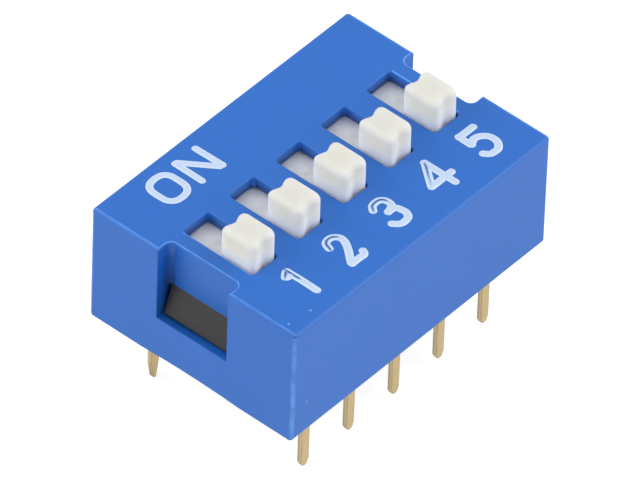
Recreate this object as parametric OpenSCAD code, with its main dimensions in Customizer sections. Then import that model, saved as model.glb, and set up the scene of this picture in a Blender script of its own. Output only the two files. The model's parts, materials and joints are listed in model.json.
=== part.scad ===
// Through-hole slide DIP switch on the standard 2.54 mm grid.
// X runs along the row with position 1 at -X, +Y is the ON side, +Z is up.
// The origin is the centre of the seating plane, which is the underside of the cover's rim.
// At rest every slider is OFF, at the -Y end of its slot, and it slides towards +Y to ON.

/* [Row] */
// Number of switch positions
positions = 5; // [2:1:12]
// Distance from one position to the next
pitch = 2.54; // [2.5:0.01:2.7]
// Distance of the OFF row's pins from the middle of the switch
row_off = 3.81; // [3.5:0.01:3.85]
// Distance of the ON row's pins from the middle; 3.81 puts the two rows exactly 7.62 apart
row_on = 3.55; // [3.5:0.01:3.85]

/* [Cover] */
// Length that the cover has past the row, at each end
end_margin = 0.8; // [0.75:0.05:1.2]
// Width of the cover, across the two pin rows
cover_w = 9.9; // [9.8:0.1:10.4]
// Height of the cover above the seating plane
cover_h = 5.4; // [5.3:0.1:6]
// Thickness of the side walls
wall_t = 0.6; // [0.5:0.05:0.6]
// Thickness of the top
top_t = 0.5; // [0.4:0.05:0.7]
// Radius of the cover's upright corners
corner_r = 0.14; // [0.05:0.01:0.3]
// Radius of the top's two long edges
long_edge_r = 0.14; // [0.05:0.01:0.2]
// Radius of the top's two short edges
short_edge_r = 0.14; // [0.05:0.01:0.2]
// Height of the shallow arch under each end wall
arch_h = 0.08; // [0.02:0.01:0.12]
// Width of the arch
arch_w = 4.8; // [3:0.2:6]

/* [Slots] */
// Width of a slot
slot_w = 1.38; // [1.36:0.01:1.4]
// Length of a slot
slot_l = 3.4; // [3.2:0.02:3.44]

/* [End channels] */
// Width of the upright channel in each end
channel_w = 3.4; // [3:0.1:3.6]
// Depth of the channel
channel_d = 0.7; // [0.5:0.05:0.7]
// Radius of the channel's two inner corners
channel_r = 0.28; // [0.05:0.01:0.35]
// Height of the sill that the channel stands on
sill_z = 1.95; // [1.6:0.05:2.2]
// Height of the window's upper edge, in the channel's back wall
window_top_z = 3.31; // [3:0.01:3.35]
// Thickness of the channel's back wall
channel_back_t = 0.45; // [0.35:0.05:0.5]

/* [Sliders] */
// Width of a slider's knob
knob_w = 1.32; // [1.1:0.02:1.32]
// Length of the knob, along its travel
knob_l = 1.6; // [1.4:0.02:1.64]
// Height of the knob above the cover's top
knob_h = 1.3; // [0.6:0.05:1.4]
// Radius of the knob's upright corners
knob_corner_r = 0.22; // [0.1:0.01:0.25]
// Radius of the knob's top edges
knob_top_r = 0.18; // [0.05:0.01:0.2]
// How far each end face of the knob leans in, from its foot to its top
knob_draft = 0.02; // [0:0.01:0.1]
// Width of the tool groove in the knob's two end faces
groove_w = 0.76; // [0.3:0.02:0.8]
// Depth of the tool groove
groove_d = 0.13; // [0.08:0.01:0.2]
// Width of the plate that carries the knob under the cover's top
plate_w = 1.7; // [1.5:0.05:1.75]
// Thickness of the plate
plate_t = 0.55; // [0.4:0.05:0.6]

/* [Contacts and terminals] */
// Width of a pin
pin_w = 0.44; // [0.3:0.02:0.6]
// Thickness of the terminals' strip
strip_t = 0.22; // [0.15:0.01:0.25]
// Length of the OFF row's pins below the seating plane
pin_l_off = 3.44; // [3:0.02:4]
// Length of the ON row's pins below the seating plane
pin_l_on = 3.82; // [3:0.02:4]
// Thickness of the leaf contacts
leaf_t = 0.1; // [0.06:0.01:0.12]
// Width of the leaf contacts
leaf_w = 1; // [0.8:0.05:1.1]

/* [Hidden] */
$fn = 48;
eps = 0.01;

// Cover
cover_l = positions * pitch + 2 * end_margin;
cavity_l = cover_l - 2 * wall_t;
cavity_w = cover_w - 2 * wall_t;
cavity_mid_l = cover_l - 2 * (channel_d + channel_back_t);
cavity_mid_w = channel_w + 2 * wall_t;
ceiling_z = cover_h - top_t;
arch_r = (arch_w * arch_w / 4 + arch_h * arch_h) / (2 * arch_h);

// Clearances
knob_end_gap = 0.08;
slide_gap = 0.02;
rib_gap = 0.06;
base_gap = 0.03;

// Base
deck_z = window_top_z + 0.09;
base_bottom_z = 0.15;
tab_side_gap = 0.08;
tab_w = channel_w - 2 * tab_side_gap;
tab_foot_z = sill_z + 0.08;
tab_reach = 0.84;
tab_top_reach = 0.42;
pocket_w = 1.2;
pocket_l = 4.8;
pocket_d = 0.7;

// Sliders
travel = slot_l - knob_l - 2 * knob_end_gap;
rest_y = -travel / 2;
plate_top_z = ceiling_z - slide_gap;
plate_bottom_z = plate_top_z - plate_t;
plate_cover = 0.32;
plate_l = slot_l + travel + 2 * plate_cover;
plate_end_r = 0.3;
rail_w = 0.2;
rail_bottom_z = deck_z + slide_gap;
rail_end_r = 0.25;
stake_r = 0.2;
stake_h = 0.22;
knob_root = 0.1;

// Leaf contacts
leaf_top_z = plate_bottom_z;
leaf_flat_half = 0.42;
wiper_y = 1.35;
wiper_r = 0.26;
wiper_gap = 0.02;
finger_slot_w = 0.14;
finger_slot_l = 2;
finger_root_y = leaf_flat_half + 0.1;

// Terminals
pad_w = 1;
neck_w = 0.6;
pad_inner_off = -0.2;
pad_inner_on = 1.6;
pad_outer = 2.5;
bend_r = 0.35;
shoulder_z = 0.75;
tip_w_off = 0.34;
tip_w_on = 0.2;
tip_l_off = 0.25;
tip_l_on = 0.8;

// Centre of position i, counted from 1 at the -X end
function position_x(i) = (i - (positions + 1) / 2) * pitch;

// Radius of the circle that cuts a groove of this width and depth into a flat face
function groove_r(width, depth) = (width * width / 4 + depth * depth) / (2 * depth);

// A rectangle centred on the origin with four rounded corners
module rounded_rect(size, r) {
    square([size[0] - 2 * r, size[1]], center = true);
    square([size[0], size[1] - 2 * r], center = true);
    for (x = [-1, 1], y = [-1, 1])
        translate([x * (size[0] / 2 - r), y * (size[1] / 2 - r)]) circle(r);
}

// A rectangle that stands on y = 0, centred on x, with only its two upper corners rounded
module arched_rect(w, h, r) {
    translate([-w / 2, 0]) square([w, h - r]);
    translate([-w / 2 + r, 0]) square([w - 2 * r, h]);
    for (x = [-1, 1]) translate([x * (w / 2 - r), h - r]) circle(r);
}

// The same, with its two sides leaning in by draft from the bottom to the top
module drafted_arch(w, h, r, draft) {
    top_w = w - 2 * draft * (1 - r / h);
    polygon([[-w / 2, 0], [w / 2, 0], [top_w / 2, h - r], [-top_w / 2, h - r]]);
    translate([-top_w / 2 + r, 0]) square([top_w - 2 * r, h]);
    for (x = [-1, 1]) translate([x * (top_w / 2 - r), h - r]) circle(r);
}

// Extrudes a profile drawn in X and Z along Y, centred on y = 0
module along_y(length) {
    translate([0, length / 2, 0]) rotate([90, 0, 0]) linear_extrude(length) children();
}

// Extrudes a profile drawn in Y and Z along X, centred on x = 0
module along_x(length) {
    rotate([90, 0, 90]) translate([0, 0, -length / 2]) linear_extrude(length) children();
}

// The inside outline of the cover, which narrows in length where the end channels come in
module cavity_outline(gap) {
    square([cavity_mid_l - 2 * gap, cavity_w - 2 * gap], center = true);
    for (y = [-1, 1])
        translate([-cavity_l / 2 + gap, y > 0 ? cavity_mid_w / 2 + gap : -cavity_w / 2 + gap])
            square([cavity_l - 2 * gap, (cavity_w - cavity_mid_w) / 2 - 2 * gap]);
}

// Cover: a moulded box, open underneath, with a slot over each slider, guide ribs between the
// sliders, and at each end a channel whose window takes the base's snap tab
module cover() {
    rib_w = pitch - plate_w - 2 * rib_gap;
    color("royalblue") difference() {
        union() {
            difference() {
                intersection() {
                    linear_extrude(cover_h) rounded_rect([cover_l, cover_w], corner_r);
                    along_x(cover_l) arched_rect(cover_w, cover_h, long_edge_r);
                    along_y(cover_w) arched_rect(cover_l, cover_h, short_edge_r);
                }
                translate([0, 0, -eps]) linear_extrude(ceiling_z + eps) cavity_outline(0);
            }
            for (i = [1:positions - 1])
                translate([position_x(i) + pitch / 2 - rib_w / 2, -cavity_w / 2, deck_z])
                    cube([rib_w, cavity_w, ceiling_z - deck_z]);
        }
        for (i = [1:positions])
            translate([position_x(i) - slot_w / 2, -slot_l / 2, ceiling_z - eps])
                cube([slot_w, slot_l, top_t + 2 * eps]);
        for (side = [-1, 1])
            translate([side * cover_l / 2, 0, 0]) {
                translate([0, 0, sill_z]) linear_extrude(cover_h)
                    rounded_rect([2 * channel_d, channel_w], channel_r);
                translate([0, 0, arch_h - arch_r])
                    along_x(2 * (channel_d + channel_back_t + eps)) circle(arch_r, $fn = 360);
                translate([-side * channel_d, 0, (sill_z + window_top_z) / 2])
                    cube([2 * channel_back_t + eps, channel_w, window_top_z - sill_z], center = true);
            }
    }
}

// A snap tab at the +X end of the base: flat underneath, where it catches over the cover's sill,
// and sloping back towards its top
module snap_tab() {
    root_x = cavity_mid_l / 2 - base_gap - eps;
    face_x = cover_l / 2 - channel_d - channel_back_t;
    along_y(tab_w) polygon([
        [root_x, tab_foot_z],
        [face_x + tab_reach, tab_foot_z],
        [face_x + tab_top_reach, window_top_z - base_gap],
        [root_x, window_top_z - base_gap]
    ]);
}

// Base: a moulded block that fills the cover's underside and holds the terminals
module base() {
    color("#303032") difference() {
        union() {
            translate([0, 0, base_bottom_z])
                linear_extrude(deck_z - base_bottom_z) cavity_outline(base_gap);
            snap_tab();
            mirror([1, 0, 0]) snap_tab();
        }
        for (i = [1:positions]) {
            terminal(i, -1);
            terminal(i, 1);
            translate([position_x(i) - pocket_w / 2, -pocket_l / 2, base_bottom_z - eps])
                cube([pocket_w, pocket_l, pocket_d + eps]);
        }
    }
}

// The knob: rounded upright corners, a rounded crown, and a tool groove in both end faces
module knob() {
    foot_z = plate_top_z - knob_root;
    height = cover_h + knob_h - foot_z;
    r = groove_r(groove_w, groove_d);
    translate([0, 0, foot_z]) difference() {
        intersection() {
            linear_extrude(height) rounded_rect([knob_w, knob_l], knob_corner_r);
            along_y(knob_l) arched_rect(knob_w, height, knob_top_r);
            along_x(knob_w) drafted_arch(knob_l, height, knob_top_r, knob_draft);
        }
        for (y = [-1, 1])
            translate([0, y * (knob_l / 2 + r - groove_d), knob_root])
                cylinder(r = r, h = height);
    }
}

// Slider i: the knob, the plate that closes the slot under the cover's top, two rails that run
// on the base's deck, and the stake that holds the leaf contact
module slider(i) {
    rail_h = plate_top_z - rail_bottom_z;
    color("#efefe8") translate([position_x(i), rest_y, 0]) {
        knob();
        translate([0, 0, plate_bottom_z])
            along_x(plate_w) arched_rect(plate_l, plate_t, plate_end_r);
        for (x = [-1, 1])
            translate([x * (plate_w - rail_w) / 2, 0, rail_bottom_z + rail_h / 2])
                along_x(rail_w) rounded_rect([plate_l, rail_h], rail_end_r);
        translate([0, 0, plate_bottom_z - stake_h]) cylinder(r = stake_r, h = stake_h + eps);
    }
}

// The leaf's outline, seen along the row: a flat middle under the plate, two arms that slope
// down, and a curled wiper at the end of each
module leaf_profile() {
    flat_z = leaf_top_z - leaf_t;
    curl_z = deck_z + wiper_gap + wiper_r;
    mid_r = wiper_r - leaf_t / 2;
    rise = flat_z + leaf_t / 2 - curl_z;
    run = wiper_y - leaf_flat_half;
    reach = sqrt(run * run + rise * rise);
    slope = atan2(rise, run) + asin(mid_r / reach);
    arm_l = sqrt(reach * reach - mid_r * mid_r);
    translate([-leaf_flat_half, flat_z]) square([2 * leaf_flat_half, leaf_t]);
    for (side = [0, 1]) mirror([side, 0]) {
        translate([leaf_flat_half, flat_z + leaf_t / 2]) {
            circle(leaf_t / 2);
            rotate(-slope) translate([0, -leaf_t / 2]) square([arm_l, leaf_t]);
        }
        translate([wiper_y, curl_z]) difference() {
            circle(wiper_r);
            circle(wiper_r - leaf_t);
            rotate(-slope) translate([-2 * wiper_r, 0]) square([4 * wiper_r, 2 * wiper_r]);
        }
    }
}

// Contact i: a leaf of spring strip under the slider, split into twin fingers at both ends
module contact(i) {
    color("gold") translate([position_x(i), rest_y, 0]) difference() {
        along_x(leaf_w) leaf_profile();
        translate([0, 0, leaf_top_z - 2 * leaf_t])
            cylinder(r = stake_r + slide_gap, h = 4 * leaf_t);
        for (side = [-1, 1])
            translate([0, side * (finger_root_y + finger_slot_l / 2), (deck_z + leaf_top_z) / 2])
                cube([finger_slot_w, finger_slot_l, leaf_top_z - deck_z], center = true);
    }
}

// A pin's outline below the seating plane, seen along Y: a tapered point with a rounded end
module pin_outline(length, tip_w, tip_l) {
    tip_r = tip_w / 2;
    polygon([
        [-pin_w / 2, shoulder_z],
        [-pin_w / 2, -length + tip_l],
        [-tip_r, -length + tip_r],
        [tip_r, -length + tip_r],
        [pin_w / 2, -length + tip_l],
        [pin_w / 2, shoulder_z]
    ]);
    translate([0, -length + tip_r]) circle(tip_r);
}

// Terminal of position i in the row at side y (-1 OFF, 1 ON): a pad flush with the deck, a neck,
// a bend, a broad leg inside the base and the narrower pin below it
module terminal(i, side) {
    leg_y = side < 0 ? row_off : row_on;
    pad_inner = side < 0 ? pad_inner_off : pad_inner_on;
    pad_start = side < 0 ? -pad_inner : pad_inner;
    bend_y = leg_y + strip_t / 2 - bend_r;
    bend_z = deck_z - bend_r;
    length = side < 0 ? pin_l_off : pin_l_on;
    tip_w = side < 0 ? tip_w_off : tip_w_on;
    tip_l = side < 0 ? tip_l_off : tip_l_on;
    color("#c9a25a") translate([position_x(i), 0, 0]) mirror([0, side < 0 ? 1 : 0, 0]) {
        translate([-pad_w / 2, pad_start, deck_z - strip_t]) cube([pad_w, pad_outer - pad_start, strip_t]);
        along_x(neck_w) {
            translate([pad_outer - eps, deck_z - strip_t]) square([bend_y - pad_outer + eps, strip_t]);
            translate([bend_y, bend_z]) intersection() {
                difference() {
                    circle(bend_r);
                    circle(bend_r - strip_t);
                }
                square(bend_r + eps);
            }
            translate([leg_y - strip_t / 2, shoulder_z]) square([strip_t, bend_z - shoulder_z]);
        }
        translate([0, leg_y, 0]) along_y(strip_t) pin_outline(length, tip_w, tip_l);
    }
}

cover();
base();
for (i = [1:positions]) slider(i);
for (i = [1:positions]) contact(i);
for (i = [1:positions]) terminal(i, -1);
for (i = [1:positions]) terminal(i, 1);
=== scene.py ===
"""Looks of a five-way slide DIP switch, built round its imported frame.

X runs along the row of switches, with position 1 at -X, +Y is the ON side and +Z is up. Every
length in a class is in millimetres, and becomes metres as a mesh is made. Places come from the
frame's nodes, and every surface gets a finish made of shader nodes.
"""
from __future__ import annotations

import json
import logging
import math
from dataclasses import dataclass
from enum import Enum
from typing import Any, Callable, Mapping, Optional, Sequence, Union

import bmesh
import bpy
from mathutils import Matrix, Vector

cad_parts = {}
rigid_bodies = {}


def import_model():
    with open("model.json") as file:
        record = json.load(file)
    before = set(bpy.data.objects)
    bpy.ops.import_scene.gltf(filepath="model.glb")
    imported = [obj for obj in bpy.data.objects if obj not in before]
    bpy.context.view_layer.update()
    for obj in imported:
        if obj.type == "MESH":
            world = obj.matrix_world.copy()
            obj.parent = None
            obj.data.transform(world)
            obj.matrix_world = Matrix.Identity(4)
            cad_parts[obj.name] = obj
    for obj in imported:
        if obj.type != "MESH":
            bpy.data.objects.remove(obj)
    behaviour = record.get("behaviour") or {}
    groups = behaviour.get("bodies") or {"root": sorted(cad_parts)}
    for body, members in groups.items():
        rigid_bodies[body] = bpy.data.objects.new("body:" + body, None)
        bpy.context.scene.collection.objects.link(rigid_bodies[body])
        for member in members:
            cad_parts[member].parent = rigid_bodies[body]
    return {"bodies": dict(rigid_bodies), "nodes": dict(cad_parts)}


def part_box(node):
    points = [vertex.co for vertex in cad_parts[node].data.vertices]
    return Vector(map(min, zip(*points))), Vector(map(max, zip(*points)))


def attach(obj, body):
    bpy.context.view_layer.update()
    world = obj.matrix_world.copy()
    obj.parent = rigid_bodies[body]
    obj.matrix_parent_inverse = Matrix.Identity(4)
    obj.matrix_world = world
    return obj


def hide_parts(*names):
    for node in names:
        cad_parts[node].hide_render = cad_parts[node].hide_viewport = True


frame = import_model()

MM = 0.001  # one millimetre, in metres
HALF = (0.5, 0.5, 0.5)
NOISE_MEAN = 0.5
SOFT, PLAIN, ROUGH = 1, 2, 3  # how many sizes of detail a noise has
COLOUR_A, COLOUR_B, COLOUR_MIX = 6, 7, 2  # a Mix node's inputs and output for colours
ROUNDED = 0.995  # a face whose normal has no part as large as this lies on a rounded edge
QUARTER_TURN = 90
HOUSING = "housing"

Colour = tuple[float, float, float]
Point = tuple[float, float, float]
FlatPoint = tuple[float, float]

log = logging.getLogger("dip_switch")


class Slot(Enum):
    """The record's material slots."""

    BLUE = "blue_plastic"
    BLACK = "black_plastic"
    WHITE = "white_plastic"
    GOLD = "gold_plate"
    SPRING = "spring_gold"
    INK = "white_ink"


# ---------------------------------------------------------------- node trees


class Wire:
    """An output socket that Python's operators work on, by adding Math or Vector Math nodes."""

    def __init__(self, graph: "Graph", socket: bpy.types.NodeSocket) -> None:
        """Keeps the socket and the graph that new nodes go into."""
        self.graph = graph
        self.socket = socket

    def out(self, name: Union[str, int]) -> "Wire":
        """Another output of the same node."""
        return Wire(self.graph, self.socket.node.outputs[name])

    def apply(self, operation: str, *others: Any) -> "Wire":
        """An operation, such as "MULTIPLY", on this and any other operands."""
        return self.graph.operate(operation, self, *others)

    def __add__(self, other: Any) -> "Wire":
        """self + other."""
        return self.apply("ADD", other)

    def __sub__(self, other: Any) -> "Wire":
        """self - other."""
        return self.apply("SUBTRACT", other)

    def __mul__(self, other: Any) -> "Wire":
        """self * other."""
        return self.apply("MULTIPLY", other)

    def __truediv__(self, other: Any) -> "Wire":
        """self / other."""
        return self.apply("DIVIDE", other)

    def __radd__(self, other: Any) -> "Wire":
        """other + self."""
        return self.graph.operate("ADD", other, self)

    def __rsub__(self, other: Any) -> "Wire":
        """other - self."""
        return self.graph.operate("SUBTRACT", other, self)

    def __rmul__(self, other: Any) -> "Wire":
        """other * self."""
        return self.graph.operate("MULTIPLY", other, self)

    def __abs__(self) -> "Wire":
        """abs(self)."""
        return self.apply("ABSOLUTE")


class Graph:
    """Adds nodes to one tree, for shaders and for geometry alike."""

    def __init__(self, tree: bpy.types.NodeTree) -> None:
        """Empties the tree and keeps it."""
        self.tree = tree
        tree.nodes.clear()

    def node(
        self,
        kind: str,
        settings: Optional[Mapping[str, Any]] = None,
        values: Optional[Mapping[Union[str, int], Any]] = None,
        output: Union[str, int] = 0,
    ) -> Wire:
        """Adds one node of any type.

        Args:
            kind: The node's type.
            settings: Its properties, set before its sockets.
            values: Its inputs by name or number, each a plain value or a Wire.
            output: The output that the result stands for.

        Returns:
            That output, or the node's first input where it has no outputs.
        """
        made = self.tree.nodes.new(kind)
        for name, value in (settings or {}).items():
            setattr(made, name, value)
        for key, value in (values or {}).items():
            self.feed(made.inputs[key], value)
        return Wire(self, made.outputs[output] if made.outputs else made.inputs[0])

    def feed(self, socket: bpy.types.NodeSocket, value: Any) -> None:
        """Links a Wire to an input, or sets the input to a plain value.

        Args:
            socket: The input.
            value: A Wire, or a plain value. One number serves for all parts of a vector.
        """
        if isinstance(value, Wire):
            self.tree.links.new(value.socket, socket)
        elif socket.type == "VECTOR" and isinstance(value, (int, float)):
            socket.default_value = (value, value, value)
        elif socket.type == "RGBA" and len(value) == 3:
            socket.default_value = (*value, 1)
        else:
            socket.default_value = value

    def operate(self, operation: str, *values: Any) -> Wire:
        """Adds a Math node, or a Vector Math node where any operand is a vector.

        Args:
            operation: The node's operation, such as "MULTIPLY".
            values: Its operands, each a Wire or a plain value.

        Returns:
            The node's result.
        """
        vector = any(
            value.socket.type == "VECTOR" if isinstance(value, Wire) else isinstance(value, tuple)
            for value in values
        )
        kind = "ShaderNodeVectorMath" if vector else "ShaderNodeMath"
        return self.node(kind, {"operation": operation}, dict(enumerate(values)))

    def blend(self, factor: Any, first: Any, second: Any) -> Wire:
        """Mixes two colours.

        Args:
            factor: The share of the second colour, held between 0 and 1.
            first: The colour at 0.
            second: The colour at 1.

        Returns:
            The mixed colour.
        """
        settings = {"data_type": "RGBA", "clamp_factor": True}
        values = {0: factor, COLOUR_A: first, COLOUR_B: second}
        return self.node("ShaderNodeMix", settings, values, COLOUR_MIX)

    def split(self, vector: Wire) -> Wire:
        """The X of a vector, whose Y and Z are the same node's other outputs."""
        return self.node("ShaderNodeSeparateXYZ", None, {0: vector})

    def mark(self, name: str) -> Wire:
        """A number that is stored on the mesh under a name."""
        return self.node("ShaderNodeAttribute", {"attribute_name": name}, output="Fac")

    def noise(self, place: Wire, size: float, detail: float = PLAIN) -> Wire:
        """A noise from 0 to 1 whose patches are about this many millimetres across."""
        values = {"Vector": place, "Scale": 1 / (size * MM), "Detail": detail}
        return self.node("ShaderNodeTexNoise", None, values)


def progress(value: Wire, start: float, end: float) -> Wire:
    """How far a length has got from a start to an end, both in millimetres."""
    return (value - start * MM) / ((end - start) * MM)


# ---------------------------------------------------------------- finishes


@dataclass(frozen=True)
class Finish:
    """A surface as shader nodes: a base colour that wanders a little, a gloss and a fine grain."""

    slot: Slot
    colour: Colour
    roughness: float = 0.5
    specular: float = 0.5
    metallic: float = 0
    cloud: float = 0.05
    cloud_size: float = 2.5
    grain: float = 0.03
    grain_size: float = 0.08
    grain_share: float = 0.4
    relief: float = 0.002
    relief_strength: float = 0.5
    roughness_spread: float = 0.1
    subsurface: float = 0
    subsurface_depth: float = 0.3
    subsurface_radius: Colour = (1, 0.95, 0.85)
    # painted_edge_colour is painted light on rounded edges: a lighter painted highlight on the
    # cover, darker painted shade on the pins; the next three set its patches
    painted_edge_colour: Optional[Colour] = None
    painted_edge_size: float = 0.6
    painted_edge_start: float = 0.07
    painted_edge_gain: float = 1.4

    def shade(self, share: float) -> Colour:
        """The base colour, made lighter or darker by a share of itself."""
        red, green, blue = (min(1, channel * (1 + share)) for channel in self.colour)
        return red, green, blue

    def tint(self, graph: Graph, place: Wire) -> Wire:
        """The base colour with its broad clouds and its fine mottle, and the painted edge colour on
        its rounded edges.

        Args:
            graph: The material's nodes.
            place: The piece's own coordinates.

        Returns:
            The colour.
        """
        cloud = graph.noise(place, self.cloud_size, ROUGH)
        mottle = graph.noise(place, self.grain_size, SOFT)
        broad = graph.blend(cloud, self.shade(-self.cloud), self.shade(self.cloud))
        fine = graph.blend(mottle, self.shade(-self.grain), self.shade(self.grain))
        colour = graph.blend(self.grain_share, broad, fine)
        if not self.painted_edge_colour:
            return colour
        # painted edge colour in patches along the rounded edges: painted highlight on the cover,
        # painted shade on the pins
        painted_edge_patches = (graph.noise(place, self.painted_edge_size) - self.painted_edge_start) * self.painted_edge_gain
        share = graph.mark("paint_edge_light_and_shade") * painted_edge_patches.apply("MAXIMUM", 0)
        return graph.blend(share, colour, self.painted_edge_colour)

    def material(self) -> bpy.types.Material:
        """Builds the material.

        Returns:
            A material whose pattern lies on the piece's own coordinates.
        """
        made = bpy.data.materials.new(self.slot.value)
        made.use_nodes = True
        graph = Graph(made.node_tree)
        place = graph.node("ShaderNodeTexCoord", output="Object")
        grain = graph.noise(place, self.grain_size)
        depth = {"Strength": self.relief_strength, "Distance": self.relief * MM}
        relief = graph.node("ShaderNodeBump", None, {"Height": grain, **depth})
        roughness = self.roughness + self.roughness_spread * (grain - NOISE_MEAN)
        surface = graph.node(
            "ShaderNodeBsdfPrincipled",
            None,
            {
                "Base Color": self.tint(graph, place),
                "Roughness": roughness,
                "Normal": relief,
                "Metallic": self.metallic,
                "Specular IOR Level": self.specular,
                "Subsurface Weight": self.subsurface,
                "Subsurface Radius": self.subsurface_radius,
                "Subsurface Scale": self.subsurface_depth * MM,
            },
        )
        graph.node("ShaderNodeOutputMaterial", None, {"Surface": surface})
        return made


@dataclass(frozen=True)
class DustyFinish(Finish):
    """A finish with a few pale specks of dust lying on it."""

    specks: tuple[Point, ...] = ()
    speck_radius: float = 0.07
    speck_colour: Colour = (0.25, 0.48, 0.92)

    def tint(self, graph: Graph, place: Wire) -> Wire:
        """The base colour, with a soft speck round each of the given places.

        Args:
            graph: The material's nodes.
            place: The piece's own coordinates.

        Returns:
            The colour.
        """
        colour = super().tint(graph, place)
        for spot in self.specks:
            ends = {0: place, 1: metres(spot)}
            distance = graph.node("ShaderNodeVectorMath", {"operation": "DISTANCE"}, ends, "Value")
            near = 1 - distance / (self.speck_radius * MM)
            colour = graph.blend(near, colour, self.speck_colour)
        return colour


@dataclass(frozen=True)
class PaintedLightByHeightFinish(Finish):
    """A finish with painted light towards the foot of a piece and painted shade on its top."""

    foot_painted_light_colour: Colour = (1, 1, 0.95)
    painted_light_start: float = 6.1
    painted_light_end: float = 5.3
    top_painted_shade_colour: Colour = (0.76, 0.75, 0.69)
    painted_shade_start: float = 5.8
    painted_shade_end: float = 6.45

    def tint(self, graph: Graph, place: Wire) -> Wire:
        """The base colour, lightened by painted light low down and darkened by painted shade high
        up.

        Args:
            graph: The material's nodes.
            place: The piece's own coordinates.

        Returns:
            The colour.
        """
        height = graph.split(place).out("Z")
        painted_light_share = progress(height, self.painted_light_start, self.painted_light_end)
        # crown is the share of painted shade towards the top
        crown = progress(height, self.painted_shade_start, self.painted_shade_end)
        with_painted_light = graph.blend(painted_light_share, super().tint(graph, place), self.foot_painted_light_colour)
        return graph.blend(crown, with_painted_light, self.top_painted_shade_colour)


@dataclass(frozen=True)
class InkFinish(Finish):
    """A printed finish whose ink is thin along the middle of some strokes."""

    thin_colour: Colour = (0.02, 0.13, 0.5)
    thin_width: float = 0.38
    ragged_size: float = 0.2
    ragged_reach: float = 0.3
    rim_colour: Colour = (0.74, 0.88, 1)
    rim_start: float = 0.45
    crispness: float = 2

    def tint(self, graph: Graph, place: Wire) -> Wire:
        """The ink's colour, with the ground showing through along its thin line.

        Args:
            graph: The material's nodes.
            place: The piece's own coordinates.

        Returns:
            The colour.
        """
        full = super().tint(graph, place)
        across = graph.mark("across")
        ragged = graph.noise(place, self.ragged_size, SOFT) - NOISE_MEAN
        offset = abs(across + ragged * self.ragged_reach)
        line = (1 - offset / self.thin_width) * self.crispness
        outer = (abs(across) - self.rim_start) * self.crispness
        rim = graph.blend(outer, full, self.rim_colour)
        return graph.blend(graph.mark("thin") * line.apply("MAXIMUM", 0), rim, self.thin_colour)


COVER_FINISH = DustyFinish(
    Slot.BLUE,
    (0.014, 0.149, 0.59),
    roughness=0.45,
    # painted highlight along the cover's rounded edges
    painted_edge_colour=(0.14, 0.38, 0.98),
    specks=((-5.73, -4.44, 5.4), (-6.8, -4.33, 5.4), (-6.33, -4.95, 1.51)),
)
BASE_FINISH = Finish(Slot.BLACK, (0.017, 0.016, 0.017), roughness=0.45, specular=0.4)
# the knobs' tops get painted shade and their lower sides painted light
KNOB_FINISH = PaintedLightByHeightFinish(
    Slot.WHITE,
    (1, 0.93, 0.76),
    roughness=0.6,
    specular=0.3,
    cloud=0.02,
    subsurface=1,
    subsurface_depth=1,
)
PIN_FINISH = Finish(
    Slot.GOLD,
    (0.56, 0.43, 0.22),
    roughness=0.3,
    metallic=1,
    cloud=0.12,
    cloud_size=0.5,
    # painted shade, darker, along the pins' rounded edges
    painted_edge_colour=(0.34, 0.26, 0.15),
)
SPRING_FINISH = Finish(Slot.SPRING, (0.78, 0.6, 0.3), roughness=0.28, metallic=1, cloud_size=0.5)
INK_FINISH = InkFinish(Slot.INK, (0.59, 0.72, 0.97), roughness=0.4, cloud=0.06, cloud_size=0.3)


# ---------------------------------------------------------------- meshes


def plain_mesh(piece: bpy.types.Object) -> None:
    """Turns a piece with live modifiers into a plain mesh, without empty material slots.

    Args:
        piece: The piece, which lies at the origin.
    """
    graph = bpy.context.evaluated_depsgraph_get()
    mesh = bpy.data.meshes.new_from_object(piece.evaluated_get(graph))
    for index, material in reversed(list(enumerate(mesh.materials))):
        if material is None:
            mesh.materials.pop(index=index)
    piece.modifiers.clear()
    piece.data = mesh
    mesh.name = piece.name


def new_piece(name: str, mesh: Optional[bpy.types.Mesh] = None) -> bpy.types.Object:
    """Adds a mesh object at the origin of the scene.

    Args:
        name: The piece's name.
        mesh: Its mesh, where it isn't a new one.

    Returns:
        The piece.
    """
    piece = bpy.data.objects.new(name, mesh or bpy.data.meshes.new(name))
    bpy.context.scene.collection.objects.link(piece)
    return piece


def hand_over(piece: bpy.types.Object, body: str, slot: Slot, *nodes: str) -> None:
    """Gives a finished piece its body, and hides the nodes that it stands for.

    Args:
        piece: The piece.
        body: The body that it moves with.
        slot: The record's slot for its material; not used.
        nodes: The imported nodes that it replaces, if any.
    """
    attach(piece, body)
    if nodes:
        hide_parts(*nodes)
    log.info("%s rides on %s, %d faces", piece.name, body, len(piece.data.polygons))


def metres(value: Any) -> Any:
    """A length, or a vector of lengths, in metres."""
    return value * MM if isinstance(value, (int, float)) else tuple(part * MM for part in value)


def stay(spot: Vector) -> Vector:
    """Leaves a point where it is."""
    return spot


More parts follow.
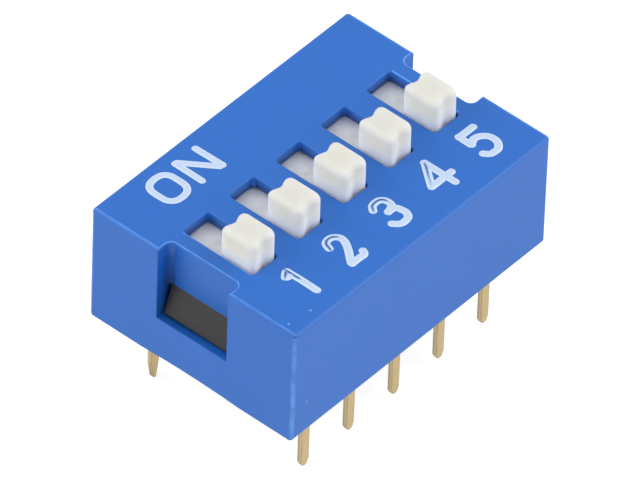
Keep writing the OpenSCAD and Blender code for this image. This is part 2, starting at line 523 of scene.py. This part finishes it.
@dataclass(frozen=True)
class Softening:
    """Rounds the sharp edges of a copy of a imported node, as a mould or a press leaves them."""

    width: float
    segments: int = 2
    sharp_angle: float = 35
    weld: float = 0.0001
    flat_angle: float = 0.5

    def copy(
        self,
        node: str,
        name: str,
        finish: Finish,
        square: Callable[[Vector], Vector] = stay,
        radius: Optional[Callable[[Vector, Vector], float]] = None,
    ) -> bpy.types.Object:
        """Copies a node, merges its loose triangles and rounds its edges.

        Args:
            node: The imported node.
            name: The new piece's name.
            finish: The finish of its faces.
            square: Where each point belongs before the edges are rounded.
            radius: The radius of an edge from its two ends, where it isn't the same everywhere.

        Returns:
            The new piece, as a plain mesh.
        """
        piece = new_piece(name, frame["nodes"][node].data.copy())
        work = bmesh.new()
        work.from_mesh(piece.data)
        for vert in work.verts:
            vert.co = square(vert.co)
        bmesh.ops.remove_doubles(work, verts=work.verts, dist=self.weld * MM)
        bmesh.ops.dissolve_limit(
            work, angle_limit=math.radians(self.flat_angle), verts=work.verts, edges=work.edges
        )
        shares = work.edges.layers.float.new("bevel_weight_edge")
        for edge in work.edges:
            if edge.calc_face_angle(0) > math.radians(self.sharp_angle):
                ends = [vert.co for vert in edge.verts]
                edge[shares] = radius(*ends) / self.width if radius else 1
        for face in work.faces:
            face.smooth = True
            face.material_index = 0
        work.to_mesh(piece.data)
        work.free()
        piece.data.materials.clear()
        piece.data.materials.append(finish.material())
        bevel = piece.modifiers.new("edges", "BEVEL")
        bevel.width = self.width * MM
        bevel.segments = self.segments
        bevel.use_clamp_overlap = False
        bevel.loop_slide = False
        bevel.limit_method = "WEIGHT"
        bevel.miter_outer = "MITER_ARC"
        normals = piece.modifiers.new("normals", "WEIGHTED_NORMAL")
        normals.keep_sharp = True
        plain_mesh(piece)
        return piece


def paint_edge_light_and_shade(piece: bpy.types.Object, share: Callable[[bpy.types.MeshPolygon], float]) -> None:
    """Stores on each rounded edge of a piece how strong its painted edge colour is, for the piece's
    finish to read: a painted highlight on the cover, painted shade on the pins.

    Args:
        piece: The piece.
        share: How strong the painted edge colour is on a face, where 0 is none.
    """
    marks = piece.data.attributes.new("paint_edge_light_and_shade", "FLOAT", "FACE")
    for face in piece.data.polygons:
        rounded = max(abs(part) for part in face.normal) < ROUNDED
        marks.data[face.index].value = share(face) if rounded else 0


class Recipe(Graph):
    """A Geometry Nodes tree with named inputs, whose result is kept as a plain mesh."""

    def __init__(self, name: str, inputs: Mapping[str, str]) -> None:
        """Makes the tree and its inputs.

        Args:
            name: The tree's name.
            inputs: The kind of each input by its name, such as {"Width": "Float"}.
        """
        super().__init__(bpy.data.node_groups.new(name, "GeometryNodeTree"))
        face = self.tree.interface
        face.new_socket("Geometry", in_out="OUTPUT", socket_type="NodeSocketGeometry")
        for label, kind in {**inputs, "Material": "Material"}.items():
            face.new_socket(label, in_out="INPUT", socket_type=f"NodeSocket{kind}")
        self.source = self.node("NodeGroupInput")

    def __getitem__(self, label: str) -> Wire:
        """One of the named inputs."""
        return self.source.out(label)

    def block(self, size: Wire, radii: Wire, cells: int) -> Wire:
        """A block round the origin whose edges are rounded by another radius along each axis.

        Args:
            size: The block's size.
            radii: The radius along X, Y and Z.
            cells: The number of faces along each edge.

        Returns:
            The block's mesh.
        """
        points = {f"Vertices {axis}": cells + 1 for axis in "XYZ"}
        cube = self.node("GeometryNodeMeshCube", None, {"Size": size, **points})
        place = self.place()
        share = abs(place) / (size * 0.5)
        flat = share.apply("MINIMUM", HALF) * 2 * (size * 0.5 - radii)
        turned = (share.apply("MAXIMUM", HALF) - 0.5).apply("NORMALIZE") * radii
        return self.put(cube, place.apply("SIGN") * (flat + turned))

    def place(self) -> Wire:
        """Where each point is."""
        return self.node("GeometryNodeInputPosition")

    def put(self, geometry: Wire, place: Wire) -> Wire:
        """Moves each point of a geometry to its new place."""
        return self.node("GeometryNodeSetPosition", None, {"Geometry": geometry, "Position": place})

    def move(self, geometry: Wire, offset: Any) -> Wire:
        """Moves a whole geometry."""
        values = {"Geometry": geometry, "Translation": offset}
        return self.node("GeometryNodeTransform", None, values)

    def union(self, parts: Sequence[Wire]) -> Wire:
        """Joins closed meshes into one closed skin.

        Args:
            parts: The meshes, which may cross themselves and each other.

        Returns:
            The skin.
        """
        joined = self.node(
            "GeometryNodeMeshBoolean",
            {"operation": "UNION", "solver": "EXACT"},
            {"Self Intersection": True},
        )
        for part in parts:
            self.tree.links.new(part.socket, joined.socket.node.inputs["Mesh 2"])
        return joined

    def cut(self, geometry: Wire, tool: Wire) -> Wire:
        """Takes a closed mesh away from another."""
        settings = {"operation": "DIFFERENCE", "solver": "EXACT"}
        return self.node("GeometryNodeMeshBoolean", settings, {"Mesh 1": geometry, "Mesh 2": tool})

    def vector(self, x: Any, y: Any, z: Any) -> Wire:
        """A vector from three numbers."""
        return self.node("ShaderNodeCombineXYZ", None, {0: x, 1: y, 2: z})

    def serve(self, geometry: Wire, sharp_angle: float = 40) -> None:
        """Ends the tree: shades it smooth but for sharp edges, and sets its material.

        Args:
            geometry: The finished shape.
            sharp_angle: The bend from which an edge is sharp, in degrees.
        """
        smooth = self.node("GeometryNodeSetShadeSmooth", None, {"Geometry": geometry})
        bend = self.node("GeometryNodeInputMeshEdgeAngle", output="Unsigned Angle")
        sharp = bend.apply("GREATER_THAN", math.radians(sharp_angle))
        creased = self.node(
            "GeometryNodeSetShadeSmooth",
            {"domain": "EDGE"},
            {"Geometry": smooth, "Selection": sharp, "Shade Smooth": False},
        )
        real = self.node("GeometryNodeRealizeInstances", None, {"Geometry": creased})
        dressed = self.node(
            "GeometryNodeSetMaterial", None, {"Geometry": real, "Material": self["Material"]}
        )
        self.node("NodeGroupOutput", None, {"Geometry": dressed})

    def make(
        self, name: str, values: Mapping[str, Any], mesh: Optional[bpy.types.Mesh] = None
    ) -> bpy.types.Object:
        """Runs the tree once.

        Args:
            name: The new piece's name.
            values: A value for each named input.
            mesh: What the tree's Geometry input gets, where it has one.

        Returns:
            The piece, as a plain mesh at the origin.
        """
        piece = new_piece(name, mesh)
        modifier = piece.modifiers.new(name, "NODES")
        modifier.node_group = self.tree
        for item in self.tree.interface.items_tree:
            if item.in_out == "INPUT" and item.name != "Geometry":
                modifier[item.identifier] = values[item.name]
        plain_mesh(piece)
        return piece


# ---------------------------------------------------------------- the switch


@dataclass
class Cover:
    """The blue cover, with a slot over each slider and a channel in each end."""

    packed_radius: float = 0.14
    end_edge: float = 0.14
    long_edge: float = 0.36
    corner: float = 0.15
    channel_edge: float = 0.07
    side_edge: float = 0.03
    slot_edge: float = 0.08
    slot_corner: float = 0.12
    channel_start: float = 5.8
    segments: int = 6
    slack: float = 0.002
    # How strong the painted highlight is on the corners, the ends' top edges and the channels' top
    # edges, and how far up a face must look to get it
    corner_highlight: float = 1.5
    end_highlight: float = 0.8
    channel_highlight: float = 1.6
    facing_up: float = 0.85

    def limits(self, *spots: Vector) -> tuple[bool, bool, bool]:
        """Whether every one of some points lies at the cover's outer faces.

        Args:
            spots: The points.

        Returns:
            Whether they all lie at an end, all at a long side, and all at the top.
        """
        low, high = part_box("cover")
        slack = self.slack * MM
        return (
            all(abs(spot.x) > high.x - slack for spot in spots),
            all(abs(spot.y) > high.y - slack for spot in spots),
            all(spot.z > high.z - slack for spot in spots),
        )

    def square(self, spot: Vector) -> Vector:
        """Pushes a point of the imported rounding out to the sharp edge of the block.

        Args:
            spot: The point.

        Returns:
            The point in its new place, or the same where it isn't on that rounding.
        """
        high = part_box("cover")[1]
        reach = (self.packed_radius + self.slack) * MM
        sizes = (abs(spot.x), abs(spot.y), spot.z)
        near = [axis for axis in range(3) if sizes[axis] > high[axis] - reach]
        if len(near) > 1:
            for axis in near:
                spot[axis] = math.copysign(high[axis], spot[axis])
        return spot

    def radius(self, start: Vector, end: Vector) -> float:
        """The radius of one sharp edge, which is none inside the cover.

        Args:
            start: One end of the edge.
            end: Its other end.

        Returns:
            The radius, in millimetres.
        """
        at_end, at_side, at_top = self.limits(start, end)
        if at_end and at_side:
            return self.corner
        if at_top and (at_end or at_side):
            return self.end_edge if at_end else self.long_edge
        if at_top and min(abs(start.x), abs(end.x)) < self.channel_start * MM:
            return self.slot_edge
        if at_top:
            return self.channel_edge
        if at_end or at_side:
            return self.side_edge
        upright = abs(start.z - end.z) > max(abs(start.x - end.x), abs(start.y - end.y))
        reaches_top = max(start.z, end.z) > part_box("cover")[1].z - self.slack * MM
        in_slot = reaches_top and abs(start.x) < self.channel_start * MM
        return self.slot_corner if upright and in_slot else 0

    def painted_highlight(self, face: bpy.types.MeshPolygon) -> float:
        """How strong the painted highlight on an edge is: the corners, and the upper part of the
        edges at the two ends.

        Args:
            face: A face of the edge's rounding.

        Returns:
            The painted highlight's strength, where 0 is none and 1 or more is most.
        """
        low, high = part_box("cover")
        spot, normal = face.center, face.normal
        inset = self.corner * MM
        if spot.z < high.z - self.long_edge * MM:
            at_corner = abs(spot.x) > high.x - inset and abs(spot.y) > high.y - inset
            # 1 where the face looks out over the corner, and 0 where it meets a side
            turned = 2 * abs(normal.x * normal.y) if spot.z > low.z + inset else 0
            return self.corner_highlight * turned if at_corner else 0
        if normal.z < self.facing_up or abs(spot.x) < self.channel_start * MM:
            return 0
        return self.end_highlight if abs(spot.x) > high.x - self.end_edge * MM else self.channel_highlight

    def build(self) -> None:
        """Makes the cover, whose outer edges get a lighter painted highlight, and hands it over."""
        edges = Softening(max(self.end_edge, self.long_edge, self.corner), self.segments)
        piece = edges.copy("cover", "cover_shell", COVER_FINISH, self.square, self.radius)
        paint_edge_light_and_shade(piece, self.painted_highlight)
        hand_over(piece, HOUSING, Slot.BLUE, "cover")


@dataclass
class Base:
    """The black base, whose tabs show in the windows of the cover."""

    edges: Softening = Softening(width=0.03)
    slack: float = 0.002

    def radius(self, start: Vector, end: Vector) -> float:
        """The radius of one sharp edge, which is none on the top, under the sliders."""
        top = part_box("base")[1].z - self.slack * MM
        return 0 if min(start.z, end.z) > top else self.edges.width

    def build(self) -> None:
        """Makes the base and hands it over."""
        piece = self.edges.copy("base", "base_block", BASE_FINISH, radius=self.radius)
        hand_over(piece, HOUSING, Slot.BLACK, "base")


@dataclass
class Sliders:
    """The five white sliders: a knob with a tool dip in both ends, a plate and two rails.

    The plate has a shallow moulding mark beside the knob.
    """

    knob_width: float = 1.34
    knob_length: float = 1.68
    knob_shift: Point = (0.01, -0.01, 0)
    knob_radii: Point = (0.22, 0.33, 0.28)
    knob_root: float = 0.8
    dip_width: float = 0.88
    dip_depth: float = 0.13
    draft: float = 0.02
    mark_place: Point = (0.13, 1.52, 0)
    mark_size: Point = (0.5, 0.44, 0.22)
    mark_cells: int = 8
    plate_drop: float = 0.52
    plate_thickness: float = 0.55
    plate_radii: Point = (0.04, 0.26, 0.26)
    rail_width: float = 0.2
    rail_radii: Point = (0.03, 0.25, 0.25)
    knob_cells: int = 32
    plate_cells: int = 12

    def recipe(self) -> Recipe:
        """Builds the tree that makes one slider.

        Returns:
            The tree.
        """
        inputs = {
            f"{part} {size}": "Vector"
            for part in ("Knob", "Plate", "Rail", "Mark")
            for size in ("size", "radii", "centre")
        }
        inputs |= {"Dip width": "Float", "Dip depth": "Float", "Draft": "Float"}
        recipe = Recipe("slider", inputs)
        knob = recipe.block(recipe["Knob size"], recipe["Knob radii"], self.knob_cells)
        across = recipe.split(recipe.place())
        along, height = across.out("Y"), across.out("Z")
        size = recipe.split(recipe["Knob size"])
        phase = (abs(across) / recipe["Dip width"]).apply("MINIMUM", 0.5) * math.tau
        dip = recipe["Dip depth"] * (0.5 + 0.5 * phase.apply("COSINE"))
        lean = recipe["Draft"] * (height / size.out("Z") + 0.5)
        narrowed = along * (1 - 2 * (dip + lean) / size.out("Y"))
        knob = recipe.put(knob, recipe.vector(across, narrowed, height))
        plate = recipe.block(recipe["Plate size"], recipe["Plate radii"], self.plate_cells)
        rail = recipe.block(recipe["Rail size"], recipe["Rail radii"], self.plate_cells)
        pieces = [
            recipe.move(knob, recipe["Knob centre"]),
            recipe.move(plate, recipe["Plate centre"]),
            recipe.move(rail, recipe["Rail centre"]),
            recipe.move(rail, recipe["Rail centre"] * (-1, 1, 1)),
        ]
        mark = recipe.block(recipe["Mark size"], recipe["Mark radii"], self.mark_cells)
        mark = recipe.move(mark, recipe["Mark centre"])
        recipe.serve(recipe.cut(recipe.union(pieces), mark))
        return recipe

    def shape(self, low: Vector, high: Vector) -> bpy.types.Object:
        """Makes one slider round x = y = 0.

        Args:
            low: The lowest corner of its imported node, in millimetres.
            high: The highest corner.

        Returns:
            The slider as a plain mesh.
        """
        plate_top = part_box("cover")[1].z / MM - self.plate_drop
        knob_height = high.z - plate_top + self.knob_root / 2
        rail_height = plate_top - low.z
        rail_x = (high.x - low.x - self.rail_width) / 2
        length = high.y - low.y
        values = {
            "Knob size": (self.knob_width, self.knob_length, knob_height),
            "Knob radii": self.knob_radii,
            "Knob centre": Vector((0, 0, high.z - knob_height / 2)) + Vector(self.knob_shift),
            "Dip width": self.dip_width,
            "Dip depth": self.dip_depth,
            "Draft": self.draft,
            "Mark centre": Vector((0, 0, plate_top)) + Vector(self.mark_place),
            "Mark size": self.mark_size,
            "Mark radii": tuple(side / 2 for side in self.mark_size),
            "Plate size": (high.x - low.x, length, self.plate_thickness),
            "Plate radii": self.plate_radii,
            "Plate centre": (0, 0, plate_top - self.plate_thickness / 2),
            "Rail size": (self.rail_width, length, rail_height),
            "Rail radii": self.rail_radii,
            "Rail centre": (rail_x, 0, plate_top - rail_height / 2),
        }
        values = {label: metres(value) for label, value in values.items()}
        return self.recipe().make("slider", {**values, "Material": KNOB_FINISH.material()})

    def build(self) -> None:
        """Makes each slider and hands it over with its own body."""
        bodies = [body for body in frame["bodies"] if body != HOUSING]
        nodes = {body: body.replace("slide", "slider") for body in bodies}
        low, high = (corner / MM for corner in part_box(next(iter(nodes.values()))))
        pattern = self.shape(low, high)
        for body, node in nodes.items():
            low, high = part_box(node)
            piece = new_piece(f"slider_knob_{body[-1]}", pattern.data.copy())
            piece.data.name = piece.name
            place = Vector(((low.x + high.x) / 2, (low.y + high.y) / 2, 0))
            piece.data.transform(Matrix.Translation(place))
            hand_over(piece, body, Slot.WHITE, node)
        bpy.data.objects.remove(pattern)


@dataclass(frozen=True)
class Stroke:
    """One stroke of a character, along a smooth line through its points, in millimetres.

    The ink is thin along the middle of the stroke at the points that thin lists.
    """

    points: tuple[FlatPoint, ...]
    closed: bool = False
    thin: tuple[int, ...] = ()

    def reach(self, end: int, inner: int, radius: float) -> FlatPoint:
        """The point where a round end of the stroke stops.

        Args:
            end: The number of the stroke's point at that end.
            inner: The number of the point before it.
            radius: Half of the stroke's width.

        Returns:
            The point.
        """
        tip, before = Vector(self.points[end]), Vector(self.points[inner])
        out = tip + (tip - before).normalized() * radius
        return out.x, out.y

    def line(self, radius: float) -> list[FlatPoint]:
        """The points of the stroke's middle, lengthened by its round ends.

        Args:
            radius: Half of the stroke's width.

        Returns:
            The points.
        """
        if self.closed:
            return list(self.points)
        return [self.reach(0, 1, radius), *self.points[1:-1], self.reach(-1, -2, radius)]


def ring(low: FlatPoint, high: FlatPoint, radius: float, steps: int = 3) -> Stroke:
    """A closed stroke round a rectangle with round corners.

    Args:
        low: The rectangle's lowest corner.
        high: Its highest corner.
        radius: The radius of its corners.
        steps: The number of straight steps round each corner.

    Returns:
        The stroke.
    """
    points = []
    for turn, (x, y) in enumerate((high, (low[0], high[1]), low, (high[0], low[1]))):
        centre_x = x - radius if x == high[0] else x + radius
        centre_y = y - radius if y == high[1] else y + radius
        for step in range(steps + 1):
            angle = math.radians(QUARTER_TURN * turn + QUARTER_TURN * step / steps)
            across, along = radius * math.cos(angle), radius * math.sin(angle)
            points.append((centre_x + across, centre_y + along))
    return Stroke(tuple(points), closed=True)


CHARACTERS: Mapping[str, tuple[Stroke, ...]] = {
    "letter_o": (ring((-5.008, 2.893), (-3.90, 4.262), 0.45),),
    "letter_n": (
        Stroke(((-3.333, 2.92), (-3.323, 4.25))),
        Stroke(((-3.25, 4.233), (-2.32, 2.95))),
        Stroke(((-2.193, 2.92), (-2.217, 4.233))),
    ),
    "digit_1": (
        Stroke(((-5.07, -2.645), (-4.97, -2.57), (-4.85, -2.49)), thin=(1, 2)),
        Stroke(((-5.03, -2.69), (-4.92, -2.72), (-4.80, -2.75))),
        Stroke(((-4.79, -2.48), (-4.78, -2.95), (-4.775, -3.25), (-4.785, -3.93)), thin=(0, 1)),
    ),
    "digit_2": (
        Stroke(
            (
                (-2.845, -2.84), (-2.79, -2.655), (-2.68, -2.54), (-2.489, -2.50), (-2.288, -2.575),
                (-2.155, -2.78), (-2.20, -3.03), (-2.406, -3.363), (-2.695, -3.705), (-2.87, -3.93),
            ),
            thin=(0, 1, 2, 3, 4),
        ),
        Stroke(((-2.88, -3.965), (-2.50, -3.96), (-2.20, -3.96), (-2.111, -3.802))),
    ),
    "digit_3": (
        Stroke(
            (
                (-0.265, -2.725), (-0.145, -2.57), (0.058, -2.50), (0.276, -2.52), (0.414, -2.65),
                (0.457, -2.851), (0.363, -3.064), (0.05, -3.17),
            ),
            thin=(1, 2, 3, 4),
        ),
        Stroke(
            (
                (0.06, -3.17), (0.375, -3.205), (0.48, -3.449), (0.488, -3.662), (0.372, -3.862),
                (0.082, -3.937), (-0.164, -3.855), (-0.313, -3.661),
            )
        ),
    ),
    "digit_4": (
        Stroke(((2.925, -2.46), (2.155, -3.445)), thin=(0,)),
        Stroke(((2.13, -3.482), (3.24, -3.485))),
        Stroke(((2.912, -2.44), (2.93, -3.94))),
    ),
    "digit_5": (
        Stroke(((4.80, -2.515), (5.58, -2.52))),
        Stroke(((4.815, -2.48), (4.80, -3.07))),
        Stroke(
            (
                (4.826, -3.11), (5.01, -2.99), (5.19, -2.965), (5.40, -3.06), (5.578, -3.264),
                (5.627, -3.502), (5.567, -3.738), (5.353, -3.942), (5.12, -3.965), (4.884, -3.895),
                (4.757, -3.713),
            )
        ),
    ),
}


@dataclass
class Legend:
    """The raised white characters on the cover's top."""

    letter_width: float = 0.29
    digit_width: float = 0.315
    height: float = 0.03
    sunk: float = 0.01
    dip: float = 0.004
    step: float = 0.03
    crown_power: float = 0.5
    profile_points: int = 16
    end_scale: float = 0.15
    weld: float = 0.001

    def recipe(self) -> Recipe:
        """Builds the tree that lays ink along the lines of a character.

        Returns:
            The tree.
        """
        sizes = ("Width", "Height", "Sunk", "Dip", "Step", "Level")
        inputs = {"Geometry": "Geometry", **dict.fromkeys(sizes, "Float")}
        recipe = Recipe("inked_stroke", inputs)
        radius = recipe["Width"] * 0.5
        lines = recipe.node("GeometryNodeMeshToCurve", None, {0: recipe["Geometry"]})
        smooth = recipe.node(
            "GeometryNodeCurveSplineType", {"spline_type": "CATMULL_ROM"}, {0: lines}
        )
        even = recipe.node(
            "GeometryNodeResampleCurve", {"mode": "LENGTH"}, {0: smooth, "Length": recipe["Step"]}
        )
        solid = recipe.node(
            "GeometryNodeCurveToMesh",
            None,
            {
                "Curve": even,
                "Profile Curve": self.profile(recipe, radius),
                "Scale": self.taper(recipe, radius),
                "Fill Caps": True,
            },
        )
        welded = recipe.node(
            "GeometryNodeMergeByDistance", None, {0: solid, "Distance": self.weld * MM}
        )
        recipe.serve(recipe.move(recipe.union([welded]), recipe.vector(0, 0, recipe["Level"])))
        return recipe

    def taper(self, recipe: Recipe, radius: Wire) -> Wire:
        """The share of the full section at each point, which rounds the two ends of a stroke.

        Args:
            recipe: The tree.
            radius: Half of the stroke's width.

        Returns:
            The share, which is 1 all along a closed stroke.
        """
        along = recipe.node("GeometryNodeSplineParameter", output="Length")
        whole = recipe.node("GeometryNodeSplineLength")
        short = 1 - (along.apply("MINIMUM", whole - along) / radius).apply("MINIMUM", 1)
        closed = recipe.node("GeometryNodeInputSplineCyclic")
        share = (1 - short * short).apply("SQRT").apply("MAXIMUM", self.end_scale)
        return share.apply("MAXIMUM", closed)

    def profile(self, recipe: Recipe, radius: Wire) -> Wire:
        """The section of a stroke: a low crown with a slight dip.

        Args:
            recipe: The tree.
            radius: Half of the stroke's width.

        Returns:
            The section's outline, marked with how far across it each point is.
        """
        values = {"Resolution": self.profile_points, "Radius": 1}
        circle = recipe.node("GeometryNodeCurvePrimitiveCircle", None, values)
        across = recipe.split(recipe.place())
        lift = 0 - across.out("Y")
        marked = recipe.node(
            "GeometryNodeStoreNamedAttribute",
            {"data_type": "FLOAT", "domain": "POINT"},
            {"Geometry": circle, "Name": "across", "Value": across},
        )
        crown = lift.apply("MAXIMUM", 0).apply("POWER", self.crown_power) * recipe["Height"]
        hollow = (1 - across * across) * recipe["Dip"] * lift.apply("GREATER_THAN", 0)
        below = lift.apply("LESS_THAN", 0) * recipe["Sunk"]
        return recipe.put(marked, recipe.vector(across * radius, below + hollow - crown, 0))

    def lines(self, name: str, strokes: Sequence[Stroke], width: float) -> bpy.types.Mesh:
        """The middle lines of a character as loose edges, marked where the ink is thin.

        Args:
            name: The character's name.
            strokes: Its strokes.
            width: Their width.

        Returns:
            The mesh.
        """
        points, edges, thin = [], [], []
        for stroke in strokes:
            first = len(points)
            line = stroke.line(width / 2)
            points += [(x * MM, y * MM, 0) for x, y in line]
            thin += [float(index in stroke.thin) for index in range(len(line))]
            edges += [(first + index, first + index + 1) for index in range(len(line) - 1)]
            if stroke.closed:
                edges.append((len(points) - 1, first))
        mesh = bpy.data.meshes.new(name)
        mesh.from_pydata(points, edges, [])
        mesh.attributes.new("thin", "FLOAT", "POINT").data.foreach_set("value", thin)
        return mesh

    def build(self) -> None:
        """Makes each character and hands it over."""
        recipe = self.recipe()
        sizes = {"Height": self.height, "Sunk": self.sunk, "Dip": self.dip, "Step": self.step}
        values = {label: metres(size) for label, size in sizes.items()}
        values |= {"Level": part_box("cover")[1].z, "Material": INK_FINISH.material()}
        for name, strokes in CHARACTERS.items():
            width = self.letter_width if name.startswith("letter") else self.digit_width
            lines = self.lines(name, strokes, width)
            piece = recipe.make(name, {**values, "Width": metres(width)}, lines)
            hand_over(piece, HOUSING, Slot.INK)


@dataclass
class Terminals:
    """The ten plated terminals, of which the pins show."""

    edges: Softening = Softening(width=0.035)

    def build(self) -> None:
        """Makes each terminal and hands it over."""
        for node in sorted(name for name in frame["nodes"] if name.startswith("terminal")):
            name = node.replace("terminal", "pin")
            piece = self.edges.copy(node, name, PIN_FINISH)
            # painted shade on every rounded edge of the pin
            paint_edge_light_and_shade(piece, lambda face: 1)
            hand_over(piece, HOUSING, Slot.GOLD, node)


@dataclass
class Contacts:
    """The leaf contacts, which stay as packed inside the switch."""

    def dress(self) -> None:
        """Gives each leaf its plating."""
        plating = SPRING_FINISH.material()
        for name, node in frame["nodes"].items():
            if name.startswith("contact"):
                node.data.materials.clear()
                node.data.materials.append(plating)
                log.info("%s keeps its packed shape", name)


# ---------------------------------------------------------------- studio


@dataclass(frozen=True)
class Lamp:
    """A square soft lamp that points at the origin.

    Its level is how bright a white card that faces it looks, where 1 is white.
    """

    name: str
    azimuth: float
    elevation: float
    level: float
    size: float = 700
    distance: float = 600

    def build(self) -> None:
        """Adds the lamp."""
        light = bpy.data.lights.new(self.name, "AREA")
        light.size = self.size * MM
        light.energy = self.level * (math.pi * self.distance * MM) ** 2
        holder = bpy.data.objects.new(self.name, light)
        bpy.context.scene.collection.objects.link(holder)
        towards = direction(self.azimuth, self.elevation)
        holder.location = towards * self.distance * MM
        holder.rotation_euler = towards.to_track_quat("Z", "Y").to_euler()


def direction(azimuth: float, elevation: float) -> Vector:
    """The unit vector towards an azimuth, where 0 is -Y and 90 is +X, and an elevation."""
    turn, lift = math.radians(azimuth), math.radians(elevation)
    return Vector(
        (math.sin(turn) * math.cos(lift), -math.cos(turn) * math.cos(lift), math.sin(lift))
    )


@dataclass
class Studio:
    """The floor, the lamps, the white surround and the camera."""

    lamps: tuple[Lamp, ...] = (
        Lamp("left_lamp", -130, 30, 0.71),
        Lamp("right_lamp", 40, 30, 0.77),
    )
    surround: float = 0.48
    floor_size: float = 600
    floor_white: float = 0.6
    floor_glow: float = 0.75
    floor_gloss: float = 0.65
    azimuth: float = -50.46
    elevation: float = 44.30
    roll: float = 2.19
    distance: float = 500
    target: Point = (0, 0, 2.5)
    slide_right: float = 0.01
    slide_up: float = -0.42
    lens: float = 763.7
    sight: float = 10000

    def seen(self, graph: Graph) -> Wire:
        """1 for a camera, glossy or transmitted ray, and 0 for the rays that light surfaces."""
        path = graph.node("ShaderNodeLightPath", output="Is Camera Ray")
        return path + path.out("Is Glossy Ray") + path.out("Is Transmission Ray")

    def build_floor(self) -> None:
        """Adds the pale floor at the tips of the longer pins."""
        level = min(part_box(name)[0].z for name in frame["nodes"])
        half = self.floor_size * MM / 2
        floor = new_piece("floor")
        signs = ((-1, -1), (1, -1), (1, 1), (-1, 1))
        corners = [(x * half, y * half, level) for x, y in signs]
        floor.data.from_pydata(corners, [], [(0, 1, 2, 3)])
        made = bpy.data.materials.new("pale_floor")
        made.use_nodes = True
        graph = Graph(made.node_tree)
        matt = graph.node("ShaderNodeBsdfDiffuse", None, {"Color": (self.floor_white,) * 3})
        path = graph.node("ShaderNodeLightPath", output="Is Camera Ray")
        strength = self.floor_glow * path + self.floor_gloss * path.out("Is Glossy Ray")
        glow = graph.node("ShaderNodeEmission", None, {"Strength": strength})
        both = graph.node("ShaderNodeAddShader", None, {0: matt, 1: glow})
        graph.node("ShaderNodeOutputMaterial", None, {"Surface": both})
        floor.data.materials.append(made)

    def build_surround(self) -> None:
        """Lights the scene evenly from all round, and shows white behind it."""
        world = bpy.data.worlds.new("white_surround")
        world.use_nodes = True
        graph = Graph(world.node_tree)
        strength = self.surround + (1 - self.surround) * self.seen(graph)
        shown = graph.node("ShaderNodeBackground", None, {"Color": (1, 1, 1), "Strength": strength})
        graph.node("ShaderNodeOutputWorld", None, {"Surface": shown})
        bpy.context.scene.world = world

    def build_camera(self) -> None:
        """Adds the camera and makes it the scene's."""
        back = direction(self.azimuth, self.elevation)
        turn = math.radians(self.azimuth)
        level = Vector((math.cos(turn), math.sin(turn), 0))
        right = Matrix.Rotation(math.radians(self.roll), 3, back) @ level
        up = back.cross(right)
        camera = bpy.data.cameras.new("camera")
        camera.lens = self.lens
        camera.clip_end = self.sight * MM
        holder = bpy.data.objects.new("camera", camera)
        bpy.context.scene.collection.objects.link(holder)
        place = Vector(self.target) + back * self.distance
        place += right * self.slide_right + up * self.slide_up
        axes = Matrix((right, up, back)).transposed().to_4x4()
        holder.matrix_world = Matrix.Translation(place * MM) @ axes
        bpy.context.scene.camera = holder

    def build(self) -> None:
        """Builds the whole studio."""
        self.build_floor()
        self.build_surround()
        self.build_camera()
        for lamp in self.lamps:
            lamp.build()
        bpy.context.scene.view_settings.view_transform = "Standard"
        log.info("studio with %d lamps", len(self.lamps))


def main() -> None:
    """Builds every class in order."""
    logging.basicConfig(level=logging.INFO, format="%(name)s: %(message)s")
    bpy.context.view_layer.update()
    Studio().build()
    Cover().build()
    Base().build()
    Sliders().build()
    Legend().build()
    Terminals().build()
    Contacts().dress()


if __name__ == "__main__":
    main()
